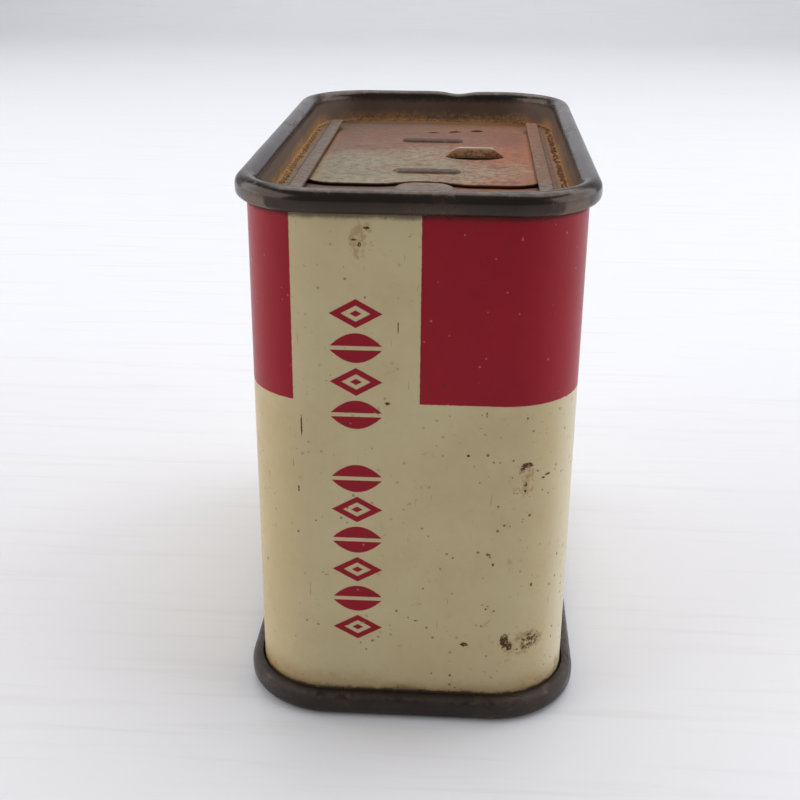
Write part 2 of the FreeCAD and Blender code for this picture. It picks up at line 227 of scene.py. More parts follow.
def printedTin():
    s = printSizes
    shop = Shop("printedTin")
    x, y, z = shop.x, shop.y, shop.z
    wobble = (shop.cloud(1.6, 3.0) - 0.5) * 0.12
    front = y.fall(-1.0, 1.0)
    stripe = (x + wobble).between(s["stripeLeft"], s["stripeRight"], 0.05) * front
    band = (z + wobble).rise(s["bandLow"] - 0.05, s["bandLow"] + 0.05) * (1.0 - stripe)

    # ornament: a hollow lozenge and a veined leaf take turns up the stripe
    steps = (z - s["motifStart"]) / s["motifPitch"]
    number = steps.math("FLOOR")
    across = abs(x + wobble - s["motifMiddle"]) / s["motifHalf"]
    along = abs(steps.math("FRACT") - 0.5) * s["motifPitch"]
    diamond = across + along / 1.72
    lozenge = diamond.fall(0.93, 0.97) * (diamond.rise(0.5, 0.54) + diamond.fall(0.2, 0.24)).atMost(1.0)
    leafEdge = (1.0 - across * across) * 1.7 - along
    leaf = leafEdge.rise(-0.04, 0.04) * along.rise(0.2, 0.26)
    odd = (number * 0.5).math("FRACT").rise(0.2, 0.3)
    present = steps.between(0.0, float(s["motifCount"]), 0.01) * (abs(number - s["motifGap"])).rise(0.2, 0.4)
    motif = (lozenge * (1.0 - odd) + leaf * odd) * present * y.fall(-25.0, -24.0)
    ink = (band + motif).atMost(1.0)

    broad = shop.cloud(0.09, 3.0)
    fine = shop.cloud(1.1, 5.0, 0.65)
    grain = shop.cloud(7.0, 3.0, 0.6)
    cornerward = (abs(x).rise(10.5, 18.0) * abs(y).rise(26.5, 34.0)).math("POWER", 0.7)
    creamAge = (broad * 1.5 - 0.45 + (fine - 0.5) * 0.5 + cornerward * 0.45).atLeast(0.0)
    cream = shop.mix(s["cream"], s["creamDeep"], creamAge)
    yellowed = abs(x).rise(14.5, 19.2) * x.fall(-2.0, 2.0) * fine.rise(0.2, 0.75)
    cream = shop.mix(cream, s["creamCorner"], yellowed * 0.5)
    # painted highlight: the right corner and right side are lightened towards white, standing in for the
    # reflection of the bright room
    cream = shop.mix(cream, paint(206, 196, 168), x.rise(15.0, 18.4) * 0.7)
    red = shop.mix(s["red"], s["redDeep"], (broad * 0.9 + fine * 0.5 - 0.2))
    faded = shop.specks(1.5, 0.12, 0.17)
    red = shop.mix(red, paint(190, 110, 110), faded * 0.55)
    colour = shop.mix(cream, red, ink * (1.0 - fine.rise(0.72, 0.8) * 0.35))

    # wear: specks, fine scratches, chips, the dirt that gathers at the bottom seam, and a darker band just
    # under the top seam
    ragged = (shop.cloud(1.2, 5.0, 0.7) - 0.5) * 2.6
    small = shop.specks(0.7, 0.26, 0.18) * 0.6
    tiny = shop.specks(1.4, 0.3, 0.2) * 0.7
    lowRight = (x * 0.03 - z * 0.014 + 0.7).rise(0.0, 1.0)
    patchy = (shop.cloud(0.13, 2.0) + lowRight * 0.16).rise(0.46, 0.66)
    smudge = (shop.cloud(0.5, 6.0, 0.75, 0.8) + lowRight * 0.05).rise(0.6, 0.68) * fine.rise(0.48, 0.62)
    upright = shop.cloud(1.0, 2.0, 0.5, 0.0, shop.stretch(2.6, 2.6, 0.22))
    slanted = shop.cloud(1.0, 2.0, 0.5, 0.6, shop.stretch(1.1, 1.1, 1.9))
    scratches = (upright.rise(0.715, 0.735) + slanted.rise(0.735, 0.75)) * 0.55
    scratches = scratches * shop.cloud(0.2, 1.0).rise(0.45, 0.6)
    torn = (shop.cloud(2.0, 6.0, 0.8) - 0.5) * 4.2
    chips = shop.spot(14.3, 10.2, 1.1, 1.15, torn) * shop.cloud(1.7, 6.0, 0.8).rise(0.47, 0.53)
    for place in s["chips"]:
        chips = chips.atLeast(shop.spot(*place, torn))
    halo = shop.spot(13.4, 10.0, 2.6, 1.7, ragged).atLeast(shop.spot(13.0, 31.6, 1.0, 2.0, ragged))
    halo = halo * fine.rise(0.4, 0.6)
    halo = halo.atLeast(shop.spot(-5.4, 58.8, 1.4, 2.0, ragged) * fine.rise(0.45, 0.6))
    wornCorner = abs(x).rise(17.4, 18.6) * (shop.cloud(0.55, 4.0, 0.7)).rise(0.6, 0.68) * 0.8
    lowPatch = (z + (fine - 0.5) * 3.2 + (shop.cloud(0.16, 2.0) - 0.55) * 3.0).fall(2.9, 3.9)
    lowPatch = lowPatch * fine.rise(0.36, 0.56)
    lowCorner = abs(x).rise(10.5, 15.0) * (z + (fine - 0.5) * 5.0).fall(3.4, 6.4) * fine.rise(0.44, 0.6) * 0.5
    lowDirt = (z + (fine - 0.5) * 1.2).fall(3.05, 3.5).atLeast(lowPatch * 0.75).atLeast(lowCorner)
    lowStain = (z + (broad - 0.5) * 6.0 + (fine - 0.5) * 4.0).fall(3.4, 6.2) * 0.4
    # darker band just under the top seam
    underTopSeamDark = (z + (fine - 0.5) * 0.8).rise(60.9, 61.5) * 0.8
    colour = shop.mix(colour, paint(150, 112, 66), (halo * 0.5 + smudge * 0.42) * (1.0 - ink))
    colour = shop.mix(colour, s["rust"], small * (0.2 + patchy * 0.8))
    colour = shop.mix(colour, s["dirt"], tiny * (0.35 + patchy * 0.65))
    colour = shop.mix(colour, s["dirt"], (scratches + underTopSeamDark + wornCorner).atMost(1.0) * 0.85)
    colour = shop.mix(colour, paint(150, 112, 62), lowStain)
    colour = shop.mix(colour, shop.mix(s["dirt"], s["rust"], z.rise(3.1, 3.7)), lowDirt * 0.85)
    chipTone = shop.mix(s["dirt"], s["rust"], grain.rise(0.4, 0.6))
    colour = shop.mix(colour, chipTone, chips * shop.cloud(2.6, 4.0, 0.7).rise(0.3, 0.5))

    # bare tinplate inside the tube and on its edges
    atCorner = abs(x).rise(9.0, 9.1) * abs(y).rise(26.0, 26.1)
    inside = abs(x).fall(18.5, 18.55) * abs(y).fall(34.75, 34.8) * (1.0 - atCorner)
    colour = shop.mix(colour, paint(120, 112, 100), inside)
    damage = (chips + lowDirt + underTopSeamDark).atMost(1.0)
    rough = 0.36 + (fine - 0.5) * 0.12 + grain * 0.05 + damage * 0.36
    height = fine * 0.25 + grain * 0.12 - damage * 0.7 - small * 0.4 + ink * 0.12 + broad * 0.6
    fixed = {"Coat Roughness": 0.14, "IOR": 1.22}
    return shop.finish(colour, rough, inside * 0.8, height, 0.22, 0.0001, fixed, coat=0.2 - damage * 0.2)


def seamSteel():
    # rolled rims, and the rusty well that the top rim surrounds
    shop = Shop("seamSteel")
    x, y, z = shop.x, shop.y, shop.z
    broad = shop.cloud(0.14, 4.0)
    fine = shop.cloud(1.3, 6.0, 0.65)
    grain = shop.cloud(6.0, 4.0, 0.65)
    dark = shop.mix(paint(56, 48, 43), paint(66, 57, 51), broad.rise(0.35, 0.7))
    dark = shop.mix(dark, paint(78, 54, 38), (broad + fine).rise(1.06, 1.25) * 0.5)
    crest = z.rise(tin["top"] - 0.7, tin["top"] - 0.02)
    # the crest is lightened: partly worn bare metal, partly a painted glint along the top of the rim
    crestWearAndGlint = crest * fine.rise(0.44, 0.62) * 0.7 + shop.specks(0.8, 0.1, 0.2) * 0.4
    dark = shop.mix(dark, paint(132, 122, 110), crestWearAndGlint.atMost(1.0) * 0.3)
    # the well: inside the rim and above the panel's underside
    roundIn = (abs(x).fall(18.0, 18.3)) * (abs(y).fall(34.3, 34.6))
    sunk = roundIn * z.rise(50.0, 50.1) * (z + (fine - 0.5) * 1.1).fall(tin["top"] - 1.9, tin["top"] - 0.7)
    floorward = z.fall(tin["panelTop"] + 0.15, tin["panelTop"] + 1.1)
    wallRust = (fine * 0.7 + floorward * 0.5 + broad * 0.4).rise(0.65, 1.1)
    wallTone = shop.mix(paint(104, 88, 76), paint(132, 86, 54), wallRust)
    floorTone = shop.mix(paint(112, 84, 62), paint(142, 88, 54), (fine + x * 0.012).rise(0.38, 0.66))
    floorTone = shop.mix(floorTone, paint(78, 58, 46), (grain * 0.6 + fine * 0.5).rise(0.5, 0.64) * 0.75)
    # painted shade: the panel under the slide is darkened almost to black, as if in the slide's shadow
    underSlideShade = (abs(x).fall(15.0, 15.5) * y.between(-13.6, 21.6, 0.6))
    floorTone = shop.mix(floorTone, paint(38, 28, 22), underSlideShade * 0.85)
    edgeward = (abs(x).rise(15.6, 17.2) + abs(y).rise(31.2, 33.6)).atMost(1.0)
    crust = edgeward * (fine + grain * 0.5).rise(0.56, 0.8)
    crust = crust * z.fall(tin["panelTop"] + 0.5, tin["panelTop"] + 1.4)
    floorTone = shop.mix(floorTone, paint(176, 136, 84), crust * 0.6)
    flat = z.fall(tin["panelTop"] + 0.02, tin["panelTop"] + 0.3)
    wellTone = shop.mix(wallTone, floorTone, flat)
    bossX, bossY = well["boss"]
    reachX, reachY = (half + 0.2 for half in well["bossHalf"])
    boss = x.between(bossX - reachX, bossX + reachX, 0.2) * y.between(bossY - reachY, bossY + reachY, 0.2)
    boss = boss * z.rise(tin["panelTop"] + 0.1, tin["panelTop"] + 0.3)
    bossTone = shop.mix(paint(112, 100, 86), paint(104, 72, 52), fine.rise(0.45, 0.65))
    wellTone = shop.mix(wellTone, bossTone, boss)
    foot = edgeward * z.fall(tin["panelTop"] + 0.3, tin["panelTop"] + 2.0)
    heaped = foot * (fine * 0.7 + grain * 0.45 + broad * 0.3).rise(0.62, 0.8)
    heapTone = shop.mix(paint(150, 100, 52), paint(186, 146, 88), grain.rise(0.4, 0.6))
    wellTone = shop.mix(wellTone, heapTone, heaped * 0.8)
    colour = shop.mix(dark, wellTone, sunk)
    rusty = (sunk * 0.8 + (broad + fine).rise(1.06, 1.3) * 0.3).atMost(1.0)
    rough = 0.22 + (fine - 0.5) * 0.08 + rusty * 0.43
    metal = 0.8 - rusty * 0.62
    height = fine * (0.04 + rusty * 0.7) + grain * rusty * 0.55 + (crust + heaped) * 0.8
    return shop.finish(colour, rough, metal, height, 0.4, 0.00012)


def rustedPlate(name, left, right, bias, top=None):
    # old tin going from grey to orange; with a top, it also gets the slide's own marks
    shop = Shop(name)
    x, y = shop.x, shop.y
    broad = shop.cloud(0.11, 4.0, 0.6, 0.4)
    fine = shop.cloud(1.1, 6.0, 0.68)
    grain = shop.cloud(5.5, 4.0, 0.65)
    orange = (x * 0.045 + y * 0.012 + (broad - 0.5) * 2.4 + (fine - 0.5) * 1.3 + bias).rise(-0.35, 0.75)
    colour = shop.mix(left, right, orange)
    colour = shop.mix(colour, paint(176, 110, 62), (fine * orange).rise(0.42, 0.62) * 0.5)
    stains = (shop.cloud(0.45, 5.0, 0.7, 0.8)).rise(0.56, 0.66)
    colour = shop.mix(colour, paint(92, 66, 52), stains * 0.6)
    mottle = (grain * 0.5 + fine * 0.6).rise(0.5, 0.66)
    colour = shop.mix(colour, paint(76, 52, 38), mottle * 0.75)
    pits = shop.specks(1.1, 0.25, 0.26) + shop.specks(2.6, 0.25, 0.12)
    colour = shop.mix(colour, paint(70, 50, 40), pits.atMost(1.0) * 0.5)
    bright = (shop.cloud(0.8, 3.0)).rise(0.58, 0.7) * (1.0 - orange) * 0.3
    colour = shop.mix(colour, paint(160, 150, 130), bright)
    if top:
        # painted shadow and dirt: the slide's lower edges are darkened, standing in for the shadowed gap
        # under the plate's edge as well as for dirt
        edge = shop.z.fall(top - 0.18, top - 0.08)
        colour = shop.mix(colour, paint(30, 22, 18), edge * 0.9)
        far = (y - x * 0.25 + (broad - 0.5) * 18 + (fine - 0.5) * 8).rise(2.0, 15.0)
        colour = shop.mix(colour, paint(112, 66, 44), far * 0.8)
        sideCrust = (abs(x) + (fine - 0.5) * 3).rise(12.4, 13.8) * (fine * 0.6 + grain * 0.5).rise(0.5, 0.62)
        colour = shop.mix(colour, paint(166, 108, 54), sideCrust * 0.7)
        # painted highlight: the top edge of the lug is lightened towards pale cream
        lugTopHighlight = shop.z.rise(top + 0.7, top + 1.15)
        # the lug's own rusty colour, lightened as painted light because its front face lies in shade
        lugFace = shop.z.rise(top + 0.1, top + 0.2) * abs(y - 3.3).fall(1.2, 1.4) * x.rise(2.0, 2.2)
        lugRustAndPaintedLight = shop.mix(paint(196, 140, 100), paint(120, 80, 56), fine.rise(0.45, 0.6))
        colour = shop.mix(colour, lugRustAndPaintedLight, lugFace)
        colour = shop.mix(colour, paint(214, 198, 172), lugTopHighlight * 0.8)
        ribbed = shop.z.rise(top + 0.06, top + 0.16)
        ribbed = ribbed * abs(x - 0.3).fall(4.2, 4.7) * abs(y - 3.3).rise(9.2, 9.6)
        colour = shop.mix(colour, paint(58, 40, 30), ribbed * fine.rise(0.25, 0.45) * 0.9)
    rough = 0.46 + orange * 0.22 + (fine - 0.5) * 0.2
    metal = 0.5 - orange * 0.38
    height = fine * 0.5 + grain * 0.4 - pits * 0.5
    return shop.finish(colour, rough, metal, height, 0.5, 0.00012)


def plainOld(name, first, second, rough, metal):
    # solder and dried sealing paste
    shop = Shop(name)
    fine = shop.cloud(1.6, 5.0, 0.6)
    streak = shop.cloud(1.0, 3.0, 0.5, 0.0, shop.stretch(1.5, 1.5, 0.3))
    colour = shop.mix(first, second, (fine * 0.6 + streak * 0.5).rise(0.4, 0.7))
    return shop.finish(colour, rough + (fine - 0.5) * 0.25, metal, fine + streak * 0.6, 0.4, 0.0001)


slideTop = slideLow[2] / mm + tin["sheet"]
finishes = {
    "print": printedTin(),
    "seam": seamSteel(),
    "slide": rustedPlate("rustedSlide", paint(140, 128, 102), paint(150, 82, 44), 0.02, slideTop),
    "rail": rustedPlate("tarnishedRail", paint(118, 100, 84), paint(124, 84, 58), -0.25),
    "crumbs": rustedPlate("rustCrumbs", paint(170, 130, 78), paint(150, 96, 52), 0.3),
    "solder": plainOld("oldSolder", paint(128, 128, 128), paint(92, 88, 84), 0.45, 0.75),
    "paste": plainOld("driedPaste", paint(96, 70, 44), paint(66, 46, 30), 0.8, 0.0),
}
print("finishes made:", len(finishes))


# geometry node trees

def newTree(name, inputs):
    tree = bpy.data.node_groups.new(name, "GeometryNodeTree")
    tree.interface.new_socket("Geometry", in_out="INPUT", socket_type="NodeSocketGeometry")
    for label, kind in inputs:
        tree.interface.new_socket(label, in_out="INPUT", socket_type=kind)
    tree.interface.new_socket("Geometry", in_out="OUTPUT", socket_type="NodeSocketGeometry")
    return tree, tree.nodes.new("NodeGroupInput"), tree.nodes.new("NodeGroupOutput")


def treeNode(tree, kind, settings, inputs):
    node = tree.nodes.new(kind)
    for name, value in settings.items():
        setattr(node, name, value)
    for name, value in inputs.items():
        if isinstance(value, bpy.types.NodeSocket):
            tree.links.new(value, node.inputs[name])
        else:
            node.inputs[name].default_value = value
    return node


def seamSweepTree():
    # carries a section once round the tin's plan
    tree, given, result = newTree("sweepRoundTin", [
        ("Width", "NodeSocketFloat"), ("Depth", "NodeSocketFloat"), ("Corner", "NodeSocketFloat"),
        ("Sections", "NodeSocketInt"), ("Material", "NodeSocketMaterial")])
    out = given.outputs
    plan = treeNode(tree, "GeometryNodeCurvePrimitiveQuadrilateral", {"mode": "RECTANGLE"},
                    {"Width": out["Width"], "Height": out["Depth"]})
    bend = treeNode(tree, "GeometryNodeFilletCurve", {"mode": "POLY"},
                    {"Curve": plan.outputs[0], "Radius": out["Corner"], "Count": 64})
    even = treeNode(tree, "GeometryNodeResampleCurve", {"mode": "COUNT"},
                    {"Curve": bend.outputs[0], "Count": out["Sections"]})
    level = treeNode(tree, "GeometryNodeSetCurveNormal", {"mode": "Z_UP"}, {"Curve": even.outputs[0]})
    section = treeNode(tree, "GeometryNodeMeshToCurve", {}, {"Mesh": out["Geometry"]})
    sweep = treeNode(tree, "GeometryNodeCurveToMesh", {},
                     {"Curve": level.outputs[0], "Profile Curve": section.outputs[0]})
    real = treeNode(tree, "GeometryNodeRealizeInstances", {}, {"Geometry": sweep.outputs[0]})
    dress = treeNode(tree, "GeometryNodeSetMaterial", {},
                     {"Geometry": real.outputs[0], "Material": out["Material"]})
    tree.links.new(dress.outputs[0], result.inputs[0])
    return tree


def crumbTree():
    # scatters small rough grains over the faces it is given
    tree, given, result = newTree("scatterCrumbs", [
        ("Density", "NodeSocketFloat"), ("Grain", "NodeSocketFloat"), ("Seed", "NodeSocketInt"),
        ("Material", "NodeSocketMaterial")])
    out = given.outputs
    spread = treeNode(tree, "GeometryNodeDistributePointsOnFaces", {},
                      {"Mesh": out["Geometry"], "Density": out["Density"], "Seed": out["Seed"]})
    grain = treeNode(tree, "GeometryNodeMeshIcoSphere", {}, {"Radius": out["Grain"], "Subdivisions": 1})
    size = treeNode(tree, "FunctionNodeRandomValue", {"data_type": "FLOAT"}, {"Seed": out["Seed"]})
    size.inputs[2].default_value = 0.3
    size.inputs[3].default_value = 1.0
    turn = treeNode(tree, "FunctionNodeRandomValue", {"data_type": "FLOAT_VECTOR"}, {"Seed": out["Seed"]})
    turn.inputs[0].default_value = (0.0, 0.0, 0.0)
    turn.inputs[1].default_value = (6.3, 6.3, 6.3)
    put = treeNode(tree, "GeometryNodeInstanceOnPoints", {}, {
        "Points": spread.outputs[0], "Instance": grain.outputs[0],
        "Rotation": turn.outputs[0], "Scale": size.outputs[1]})
    real = treeNode(tree, "GeometryNodeRealizeInstances", {}, {"Geometry": put.outputs[0]})
    dress = treeNode(tree, "GeometryNodeSetMaterial", {},
                     {"Geometry": real.outputs[0], "Material": out["Material"]})
    tree.links.new(dress.outputs[0], result.inputs[0])
    return tree


def runTree(mesh, tree, values, name):
    # puts the tree on the mesh, keeps its result as a plain mesh and leaves no modifier
    carrier = bpy.data.objects.new(name, mesh)
    bpy.context.scene.collection.objects.link(carrier)
    modifier = carrier.modifiers.new(name, "NODES")
    modifier.node_group = tree
    for item in tree.interface.items_tree:
        if item.in_out == "INPUT" and item.name in values:
            modifier[item.identifier] = values[item.name]
    evaluated = carrier.evaluated_get(bpy.context.evaluated_depsgraph_get())
    made = bpy.data.meshes.new_from_object(evaluated)
    carrier.modifiers.clear()
    bpy.data.objects.remove(carrier)
    return made


# mesh helpers; sections are (out, up) pairs in mm, out measured from the printed wall

def arcPoints(centreX, centreY, radius, start, end, count):
    turns = [math.radians(start + (end - start) * i / count) for i in range(count + 1)]
    return [(centreX + radius * math.cos(a), centreY + radius * math.sin(a)) for a in turns]


def sectionMesh(name, points, closed):
    mesh = bpy.data.meshes.new(name)
    spots = [(out * mm, -up * mm, 0.0) for out, up in points]
    edges = [(i, i + 1) for i in range(len(points) - 1)] + ([(len(points) - 1, 0)] if closed else [])
    mesh.from_pydata(spots, edges, [])
    return mesh


def sweepRound(name, points, finish, closed=True):
    values = {"Width": tin["width"] * mm, "Depth": tin["depth"] * mm, "Corner": tin["corner"] * mm,
              "Sections": tin["pathPoints"], "Material": finish}
    return runTree(sectionMesh(name + "Section", points, closed), sweepTree, values, name)


def roundedPlan(halfX, halfY, radius, middleX=0.0, middleY=0.0, steps=12):
    inX, inY = halfX - radius, halfY - radius
    points = []
    for turn, (sx, sy) in enumerate(((1, 1), (-1, 1), (-1, -1), (1, -1))):
        points += arcPoints(middleX + sx * inX, middleY + sy * inY, radius, 90 * turn, 90 * turn + 90, steps)
    return points


def flatPlate(name, outline, holes, low, high, edge):
    # a sheet with holes and softly rounded edges, all in mm
    curve = bpy.data.curves.new(name, "CURVE")
    curve.dimensions = "2D"
    curve.fill_mode = "BOTH"
    curve.extrude = (high - low) / 2 * mm - edge * mm
    curve.bevel_depth = edge * mm
    curve.bevel_resolution = 2
    curve.offset = -edge * mm
    for ring in [outline] + holes:
        spline = curve.splines.new("POLY")
        spline.points.add(len(ring) - 1)
        spline.use_cyclic_u = True
        for point, (x, y) in zip(spline.points, ring):
            point.co = (x * mm, y * mm, 0.0, 1.0)
    carrier = bpy.data.objects.new(name, curve)
    bpy.context.scene.collection.objects.link(carrier)
    made = bpy.data.meshes.new_from_object(carrier.evaluated_get(bpy.context.evaluated_depsgraph_get()))
    bpy.data.objects.remove(carrier)
    for vertex in made.vertices:
        vertex.co.z += (low + high) / 2 * mm
    return made


def ringStack(name, rings):
    # closed form through rings of equal count, each a list of (x, y, z) in mm
    mesh = bpy.data.meshes.new(name)
    shape = bmesh.new()
    rows = [[shape.verts.new(Vector(p) * mm) for p in ring] for ring in rings]
    for low, high in zip(rows, rows[1:]):
        for i in range(len(low)):
            j = (i + 1) % len(low)
            shape.faces.new((low[i], low[j], high[j], high[i]))
    shape.faces.new(list(reversed(rows[0])))
    shape.faces.new(rows[-1])
    shape.to_mesh(mesh)
    shape.free()
    return mesh


def softBoss(name, halfX, halfY, radius, x, y, low, high):
    # a pressed bump: its plan shrinks along a quarter circle as it rises
    rise = high - low
    rings = []
    for step in range(9):
        angle = math.radians(90 * step / 8)
        inward = min(radius * 0.92, rise * 1.6) * (1 - math.cos(angle))
        plan = roundedPlan(halfX - inward, halfY - inward, radius - inward, x, y)
        rings.append([(px, py, low + rise * math.sin(angle)) for px, py in plan])
    return ringStack(name, rings)


def piece(name, meshes, finish, smooth=40):
    # joins meshes into one finished object at the origin
    mesh = bpy.data.meshes.new(name)
    shape = bmesh.new()
    for part in meshes:
        shape.from_mesh(part)
    bmesh.ops.remove_doubles(shape, verts=shape.verts, dist=0.002 * mm)
    bmesh.ops.recalc_face_normals(shape, faces=shape.faces)
    shape.to_mesh(mesh)
    shape.free()
    mesh.materials.clear()
    mesh.materials.append(finish)
    for polygon in mesh.polygons:
        polygon.material_index = 0
    mesh.shade_smooth()
    mesh.set_sharp_from_angle(angle=math.radians(smooth))
    made = bpy.data.objects.new(name, mesh)
    bpy.context.scene.collection.objects.link(made)
    print("made", name, len(mesh.polygons), "faces")
    return made


def settle(made, body, node):
    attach(made, body)
    if node:
        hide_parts(node)


sweepTree = seamSweepTree()
grainTree = crumbTree()


# printed wall

wall = {
    "low": shellLow[2] / mm + 0.1,
    "high": shellHigh[2] / mm - 0.1,
    "rows": 70,
    "ripple": 0.05,         # how far the flat walls wander, mm
    "dents": [              # place, reach and depth
        (6.5, -35, 30, 5, -0.08), (-11, -35, 22, 4, -0.06),
        (19, 12, 40, 7, -0.14), (-19, -8, 25, 8, -0.12)],
}


def makeWall():
    rows = wall["rows"]
    ups = [wall["low"] + (wall["high"] - wall["low"]) * i / rows for i in range(rows + 1)]
    outside = [(0.0, up) for up in ups]
    inside = [(-tin["sheet"], up) for up in reversed(ups)]
    mesh = sweepRound("printedWall", outside + inside, finishes["print"])
    for vertex in mesh.vertices:
        spot = vertex.co / mm
        hold = min(1.0, (spot.z - wall["low"]) / 5, (wall["high"] - spot.z) / 5)
        away = Vector((spot.x, spot.y, 0)).normalized()
        if abs(spot.x) < 9.75:
            away = Vector((0, math.copysign(1, spot.y), 0))
        elif abs(spot.y) < 26:
            away = Vector((math.copysign(1, spot.x), 0, 0))
        push = (noise.noise(spot * 0.06) - 0.35) * wall["ripple"] * hold
        for x, y, z, reach, depth in wall["dents"]:
            gap = (spot - Vector((x, y, z))).length / reach
            push += depth * math.exp(-gap * gap) * hold
        vertex.co += away * min(push, 0.0) * mm
    return piece("printedWall", [mesh], finishes["print"])


printedWall = makeWall()
settle(printedWall, "tin", "body_shell")


# rolled seams and ends

topSeam = {
    "out": 1.25,            # past the wall's outer face
    "in": 1.15,
    "crest": 1.19,
    "heel": 0.86,
    "high": tin["top"],
    "low": tin["top"] - 2.6,
    "wander": 0.05,         # unevenness of the crest
    "ding": (3.4, 2.0, 0.35),   # a knock in the back: place, reach and depth
}
bottomSeam = {"out": 1.6, "in": 1.0, "crest": 1.29, "heel": 1.15, "high": 3.1, "panel": 3.6}


def topSection():
    s = topSeam
    sheet, floor = tin["sheet"], tin["panelTop"]
    crest = s["crest"]
    points = [(-0.02, s["low"] + 0.35), (0.35, s["low"])]
    points += arcPoints(s["out"] - s["heel"], s["low"] + s["heel"], s["heel"], -90, 0, 6)
    points += arcPoints(s["out"] - crest, s["high"] - crest, crest, 0, 90, 12)
    points += arcPoints(-s["in"] + crest, s["high"] - crest, crest, 90, 180, 12)
    points += [(-s["in"], floor + 0.5 + (s["high"] - crest - floor - 0.5) * k / 5) for k in (4, 3, 2, 1)]
    points += arcPoints(-s["in"] - 0.45, floor + 0.45, 0.45, 0, -90, 6)
    points += [(-s["in"] - 0.5, floor - sheet), (-s["in"] + sheet, floor - sheet)]
    points += [(-s["in"] + sheet, s["low"] - 0.1), (-s["in"] + sheet + 0.3, s["low"] + 0.35)]
    return points


def makeTopEnd():
    rim = sweepRound("topRim", topSection(), finishes["seam"])
    s = topSeam
    for vertex in rim.vertices:
        spot = vertex.co / mm
        # the crest is a little uneven, with one small ding at the back
        near = max(0.0, 1 - abs(spot.z - s["high"]) / 3.2)
        swell = max(0.0, noise.noise(Vector((spot.x, spot.y, 0)) * 0.12) + 0.6)
        vertex.co.z -= swell * s["wander"] * near * mm
        if spot.y > 30:
            place, reach, depth = s["ding"]
            along = (spot.x - place) / reach
            knock = depth * math.exp(-along * along) * near * mm
            vertex.co.z -= knock
            vertex.co.y -= knock
    (startX, startY), (stepX, stepY) = well["sifterStart"], well["sifterStep"]
    holes = []
    for number in range(well["sifterCount"]):
        x, y = startX + stepX * number, startY + stepY * number
        holes.append(arcPoints(x, y, well["sifterRadius"], 0, 345, 23))
    holes.append(roundedPlan(*well["pourHalf"], well["pourCorner"], *well["pourPlace"]))
    level = tin["panelTop"]
    outline = roundedPlan(*well["panelHalf"], well["panelCorner"], steps=16)
    panel = flatPlate("topPanel", outline, holes, level - tin["sheet"], level, 0.05)
    half, corner, place = well["bossHalf"], well["bossCorner"], well["boss"]
    boss = softBoss("stopBoss", *half, corner, *place, level - 0.1, level + 0.5)
    return piece("topEnd", [rim, panel, boss], finishes["seam"])


topEnd = makeTopEnd()
settle(topEnd, "tin", "top_end")


def bottomSection():
    s = bottomSeam
    sheet, floor = tin["sheet"], s["panel"]
    crest = s["crest"]
    points = [(-7.9, floor), (-s["in"] - 5.8, floor), (-s["in"] - 5.5, floor + 0.3)]
    points += [(-s["in"] - 4.5, floor + 0.3), (-s["in"] - 4.2, floor)]
    points += arcPoints(-s["in"] - 0.45, floor - 0.45, 0.45, 90, 0, 6)
    points += arcPoints(-s["in"] + crest, crest, crest, 180, 270, 12)
    points += arcPoints(s["out"] - crest, crest, crest, 270, 360, 12)
    points += arcPoints(s["out"] - s["heel"], s["high"] - s["heel"], s["heel"], 0, 90, 6)
    points += [(0.3, s["high"]), (-0.02, s["high"] - 0.35), (-s["in"] + sheet + 0.3, s["high"] - 0.3)]
    points += [(-s["in"] + sheet, s["high"] + 0.1), (-s["in"] + sheet, floor + sheet)]
    points += [(-s["in"] - 4.0, floor + sheet), (-s["in"] - 4.4, floor + sheet + 0.3)]
    points += [(-s["in"] - 5.6, floor + sheet + 0.3), (-s["in"] - 6.0, floor + sheet), (-7.9, floor + sheet)]
    return points


def makeBottomEnd():
    rim = sweepRound("bottomRim", bottomSection(), finishes["seam"], closed=False)
    shape = bmesh.new()
    shape.from_mesh(rim)
    bmesh.ops.holes_fill(shape, edges=[e for e in shape.edges if e.is_boundary], sides=0)
    shape.to_mesh(rim)
    shape.free()
    return piece("bottomEnd", [rim], finishes["seam"])


bottomEnd = makeBottomEnd()
settle(bottomEnd, "tin", "bottom_end")


# rails

rail = {
    "lip": railLow[0] / mm,
    "web": railHigh[0] / mm - 0.7,
    "foot": railHigh[0] / mm,
    "half": railHigh[1] / mm,
    "low": railLow[2] / mm,
    "high": railHigh[2] / mm,
    "wave": 0.07,           # how far the lip wanders
}


def makeRail(side, name, node):
    s, sheet = rail, tin["sheet"]
    low, high = s["low"], s["high"]
    section = [(s["foot"], low), (s["foot"], low + sheet)]
    section += [(s["web"] + 0.12, low + sheet), (s["web"], low + sheet + 0.12)]
    section += arcPoints(s["web"] - 0.3, high - 0.3, 0.3, 0, 90, 5)
    section += [(s["lip"] + 0.06, high), (s["lip"], high - 0.08), (s["lip"], high - sheet)]
    section += [(s["web"] - sheet, high - sheet), (s["web"] - sheet, low)]
    rings = []
    count = 60
    for i in range(count + 1):
        y = -s["half"] + 2 * s["half"] * i / count
        sway = noise.noise(Vector((side * 7.0, y * 0.16, 0))) * s["wave"]
        ring = []
        for x, z in section:
            lipward = max(0.0, (s["web"] - x) / (s["web"] - s["lip"]))
            droop = abs(sway) * 0.4 * lipward * (z > low + 0.4)
            ring.append((side * (x + max(0.0, sway) * lipward), y, z - droop))
        rings.append(ring)
    made = piece(name, [ringStack(name, rings)], finishes["rail"], 35)
    settle(made, "tin", node)
    return made


leftRail = makeRail(-1, "leftRail", "left_rail")
rightRail = makeRail(1, "rightRail", "right_rail")


# slide

